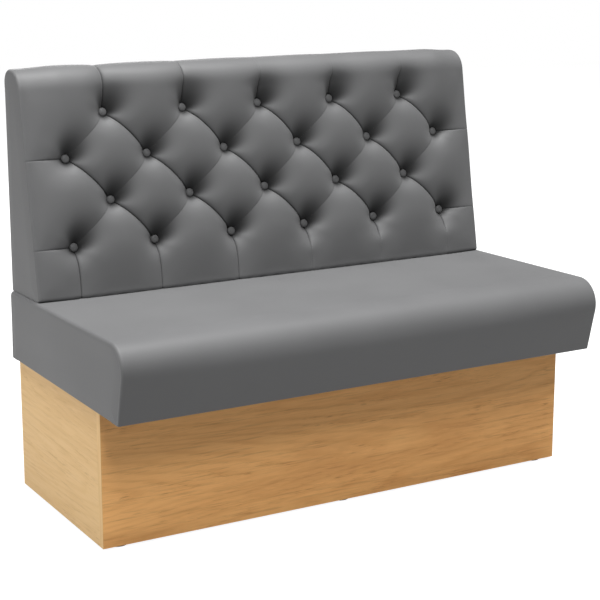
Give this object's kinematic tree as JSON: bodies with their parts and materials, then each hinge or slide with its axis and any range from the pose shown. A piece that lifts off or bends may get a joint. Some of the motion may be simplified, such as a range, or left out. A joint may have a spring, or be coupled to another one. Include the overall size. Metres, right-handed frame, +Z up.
{
  "type": "upholstered banquette bench",
  "caption": "Banquette bench: oak-faced plinth on levelling feet, thick seat with a rounded nose, and a wedge back deep-buttoned in diamonds.",
  "frame": {"origin": "on the floor, under the middle of the bench's box: halfway between its ends, and halfway between the seat's nose and its rear", "axes": "+X along the seat, to the right as one faces its front; -Y towards the sitter's knees, +Y to the rear; +Z up"},
  "size_m": [1.2, 0.63, 0.9722],
  "materials": {
    "oak_board": "satin",
    "oak_band": "satin",
    "zinc_steel": "satin",
    "black_plastic": "matte",
    "foam": "matte",
    "seat_hide": "satin",
    "back_hide": "satin",
    "button_hide": "satin",
    "black_cloth": "matte",
    "twine": "matte",
    "hardboard": "matte",
    "plywood": "matte",
    "softwood": "matte"
  },
  "bodies": {
    "bench": {"plinth_front_panel": "oak_board", "plinth_left_panel": "oak_board", "plinth_right_panel": "oak_board", "plinth_back_panel": "oak_board", "plinth_divider": "plywood", "plinth_edge_bands": "oak_band", "plinth_corner_battens": "softwood", "plinth_top_cleats": "softwood", "plinth_foot_blocks": "softwood", "plinth_screws": "zinc_steel", "foot_inserts": "zinc_steel", "seat_front_rail": "softwood", "seat_rear_rail": "softwood", "seat_end_rails": "softwood", "seat_cross_rails": "softwood", "seat_corner_blocks": "softwood", "seat_board": "plywood", "seat_riser_rails": "softwood", "seat_foam": "foam", "seat_cover": "seat_hide", "seat_left_end_cover": "seat_hide", "seat_right_end_cover": "seat_hide", "seat_bottom_cloth": "black_cloth", "seat_fixing_screws": "zinc_steel", "back_bottom_rail": "softwood", "back_top_rail": "softwood", "back_left_end_board": "plywood", "back_right_end_board": "plywood", "back_ribs": "plywood", "back_board": "plywood", "back_foam": "foam", "back_cover": "back_hide", "back_left_end_cover": "back_hide", "back_right_end_cover": "back_hide", "back_outside_board": "hardboard", "back_outside_cover": "back_hide", "back_buttons": "button_hide", "button_ties": "twine", "button_washers": "zinc_steel", "back_bolts": "zinc_steel", "back_bolt_nuts": "zinc_steel"},
    "front_left_foot": {"front_left_pad": "black_plastic", "front_left_stem": "zinc_steel"},
    "front_middle_foot": {"front_middle_pad": "black_plastic", "front_middle_stem": "zinc_steel"},
    "front_right_foot": {"front_right_pad": "black_plastic", "front_right_stem": "zinc_steel"},
    "rear_left_foot": {"rear_left_pad": "black_plastic", "rear_left_stem": "zinc_steel"},
    "rear_middle_foot": {"rear_middle_pad": "black_plastic", "rear_middle_stem": "zinc_steel"},
    "rear_right_foot": {"rear_right_pad": "black_plastic", "rear_right_stem": "zinc_steel"}
  },
  "joints": [
    {"name": "front_left_level", "type": "slide", "parent": "bench", "child": "front_left_foot", "axis": [0, 0, 1], "range_m": [-0.012, 0]},
    {"name": "front_middle_level", "type": "slide", "parent": "bench", "child": "front_middle_foot", "axis": [0, 0, 1], "range_m": [-0.012, 0]},
    {"name": "front_right_level", "type": "slide", "parent": "bench", "child": "front_right_foot", "axis": [0, 0, 1], "range_m": [-0.012, 0]},
    {"name": "rear_left_level", "type": "slide", "parent": "bench", "child": "rear_left_foot", "axis": [0, 0, 1], "range_m": [-0.012, 0]},
    {"name": "rear_middle_level", "type": "slide", "parent": "bench", "child": "rear_middle_foot", "axis": [0, 0, 1], "range_m": [-0.012, 0]},
    {"name": "rear_right_level", "type": "slide", "parent": "bench", "child": "rear_right_foot", "axis": [0, 0, 1], "range_m": [-0.012, 0]}
  ]
}
